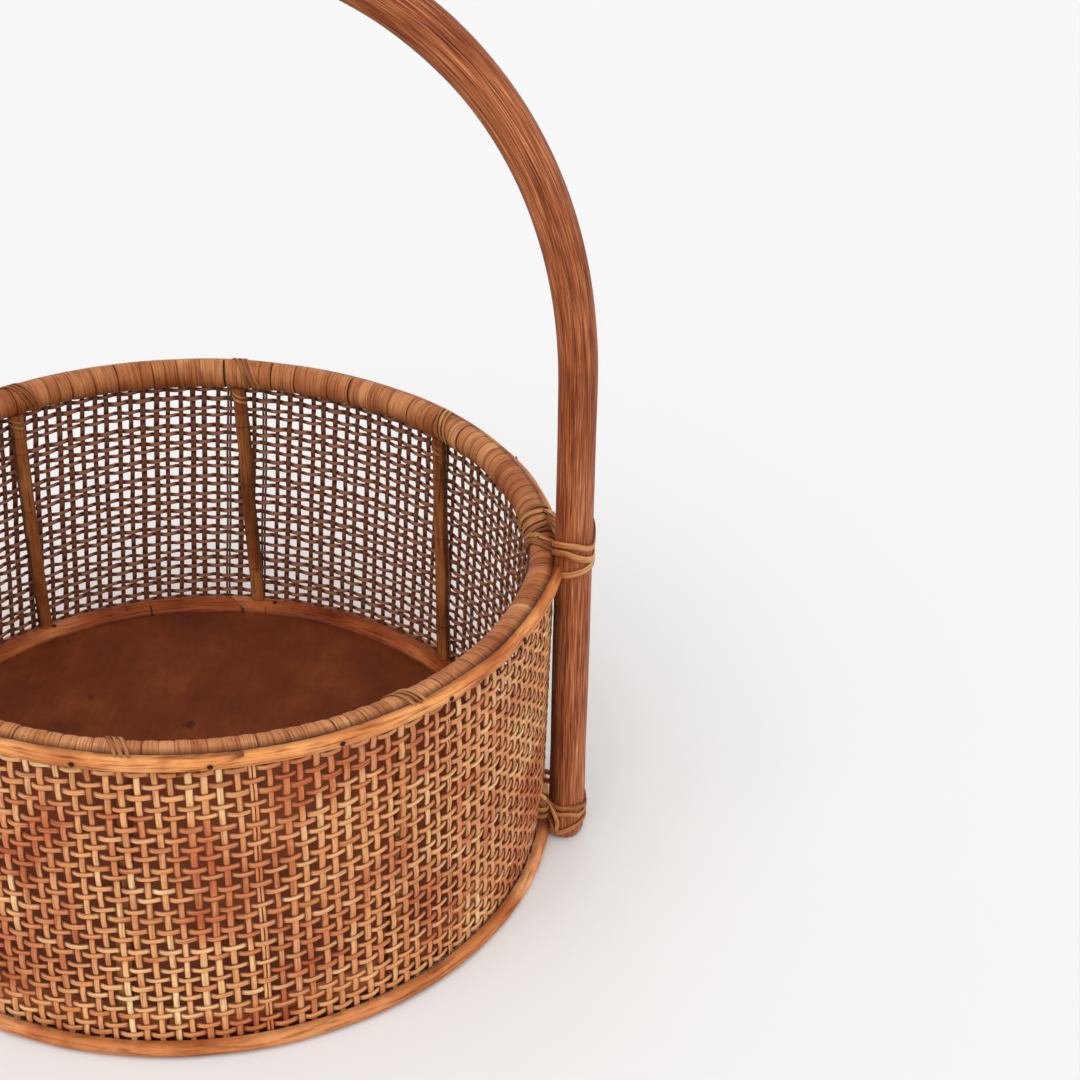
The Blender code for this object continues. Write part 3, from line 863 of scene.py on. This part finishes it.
def make_lower_lashing(side, half_turn, finish):
    """The strip that binds a leg's foot: three turns round it and two across the base hoop."""
    bundle = Bundle()
    for heights in LOWER_TURNS:
        low, high = heights[0] / 1000, heights[-1] / 1000
        start = [wall_point(-3.5, low, -0.0012), wall_point(-3.0, low, 0.0040)]
        end = [wall_point(3.0, high, 0.0040), wall_point(3.5, high, -0.0012)]
        lay_strand(bundle, start + pole_pass(heights) + end, half_turn, LOWER_TURN_WIDTH)
    crossing = [
        wall_point(-4.6, 0.0310, -0.001),
        wall_point(-4.2, 0.0285, 0.0012),
        pole_point(-146, 0.0200, 0.0016),
        pole_point(-126, 0.0170, 0.0016),
        pole_point(-116, 0.0135, 0.0016),
        pole_point(-114, 0.0095),
        pole_point(-118, 0.0050, 0.0003),
    ]
    lay_strand(bundle, crossing, half_turn, WIDE_CROSSING_WIDTH)
    crossing = [
        wall_point(-3.8, 0.0240, -0.001),
        wall_point(-3.2, 0.0215, 0.0014),
        pole_point(-146, 0.0105, 0.0010),
        pole_point(-131, 0.0070, 0.0010),
        pole_point(-125, 0.0025, 0.0010),
    ]
    lay_strand(bundle, crossing, half_turn, NARROW_CROSSING_WIDTH)
    bundle.finish(f"lower_lash_{side}", finish, "binding_cane", [f"lower_lashing_{side}"])


# ---------------------------------------------------------------- stage


def make_camera():
    """A camera that looks down on the basket from in front, a little rolled."""
    data = bpy.data.cameras.new("camera")
    data.sensor_width = 36
    data.lens = CAMERA_LENS
    data.clip_start = 0.01
    camera = bpy.data.objects.new("camera", data)
    bpy.context.scene.collection.objects.link(camera)
    yaw, pitch, roll = CAMERA_TURN
    ahead = Vector((math.sin(yaw) * math.cos(pitch), math.cos(yaw) * math.cos(pitch), -math.sin(pitch)))
    right = Vector((math.cos(yaw), -math.sin(yaw), 0))
    up = right.cross(ahead)
    axis_x = right * math.cos(roll) + up * math.sin(roll)
    axis_y = up * math.cos(roll) - right * math.sin(roll)
    turn = Matrix((axis_x, axis_y, -ahead)).transposed().to_4x4()
    camera.matrix_world = Matrix.Translation(CAMERA_PLACE) @ turn
    bpy.context.scene.camera = camera


def make_sun(name, direction, strength):
    """A soft distant light that shines along a direction."""
    data = bpy.data.lights.new(name, "SUN")
    data.energy = strength
    data.angle = math.radians(SUN_ANGLE)
    light = bpy.data.objects.new(name, data)
    bpy.context.scene.collection.objects.link(light)
    light.rotation_euler = Vector(direction).to_track_quat("-Z", "Y").to_euler()


def make_stage():
    """A pale floor, soft lights and a pale surround."""
    bpy.ops.mesh.primitive_plane_add(size=12, location=(0, 0, -0.0002))
    floor = bpy.context.active_object
    floor.name = "floor"
    shader = Shader("pale_floor")
    paper = shader.ramp(shader.noise(shader.place, 2.0), (0.0, 0.780), (1.0, 0.784))
    floor.data.materials.append(shader.finish(paper, 0.9))
    world = bpy.data.worlds.new("surround")
    world.use_nodes = True
    world.node_tree.nodes["Background"].inputs[0].default_value = (1, 1, 1, 1)
    world.node_tree.nodes["Background"].inputs[1].default_value = SURROUND_STRENGTH
    bpy.context.scene.world = world
    make_sun("key", (0.30, 0.75, -1.0), KEY_STRENGTH)
    make_sun("side", (-1.0, 0.35, -0.9), SIDE_STRENGTH)
    bpy.context.scene.view_settings.view_transform = "Standard"


def restyle(node, finish):
    """Gives a CAD node that stays a procedural finish."""
    node.data.materials.clear()
    node.data.materials.append(finish)


def make_cane_materials():
    """The split-cane finishes by name: dark, middle and light tones, painted shade on the edges and fibre
    fineness.
    """
    tones = {
        "binding_cane": ((172, 106, 58), (190, 124, 74), (212, 148, 98), 0.85, 1500.0),
        "lash_cane": ((144, 84, 42), (198, 136, 80), (230, 176, 118), 0.9, 1500.0),
        "split_rattan": ((184, 104, 52), (226, 148, 84), (244, 182, 116), 0.4, 1100.0),
        "foot_rattan": ((156, 82, 34), (200, 124, 68), (232, 166, 112), 0.3, 1100.0),
        "floor_rattan": ((128, 56, 18), (172, 88, 38), (222, 142, 88), 0.5, 1100.0),
        "stake_rattan": ((122, 68, 32), (164, 100, 54), (196, 132, 80), 0.85, 1100.0),
    }
    finishes = {}
    for name, (dark, middle, light, edge, streaks) in tones.items():
        colours = (srgb(*dark), srgb(*middle), srgb(*light))
        finishes[name] = cane_material(name, *colours, edge, streaks, cracks=name == "floor_rattan")
    return finishes


def restyle_carried_nodes(finishes):
    """Gives the CAD nodes that stay as they are their finishes: the board, the rim's core, the nails."""
    restyle(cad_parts["floor_board"], board_material())
    restyle(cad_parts["rim_core"], finishes["binding_cane"])
    iron = nail_material()
    for name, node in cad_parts.items():
        if "nail" in name:
            restyle(node, iron)


def main():
    make_camera()
    make_stage()
    # The last two colours of each weave are the painted shade on its inner faces.
    weft = weave_material("weft_cane", srgb(96, 50, 30), srgb(172, 120, 94))
    warp = weave_material("warp_cane", srgb(72, 34, 20), srgb(132, 84, 62))
    finishes = make_cane_materials()
    rows = weave_rows()
    make_uprights(rows, warp)
    numbered = list(enumerate(rows))
    make_rounds("weave_rounds_low", numbered[: ROWS // 2], weft)
    make_rounds("weave_rounds_high", numbered[ROWS // 2 :], weft)
    make_binding(finishes["binding_cane"])
    make_band(finishes["split_rattan"])
    make_base_hoop(finishes["foot_rattan"])
    make_floor_hoop(finishes["floor_rattan"])
    make_stakes(finishes["stake_rattan"])
    make_ties(finishes["lash_cane"])
    make_pole(pole_material())
    for side, half_turn in (("right", False), ("left", True)):
        make_upper_lashing(side, half_turn, finishes["lash_cane"])
        make_lower_lashing(side, half_turn, finishes["lash_cane"])
    restyle_carried_nodes(finishes)


main()
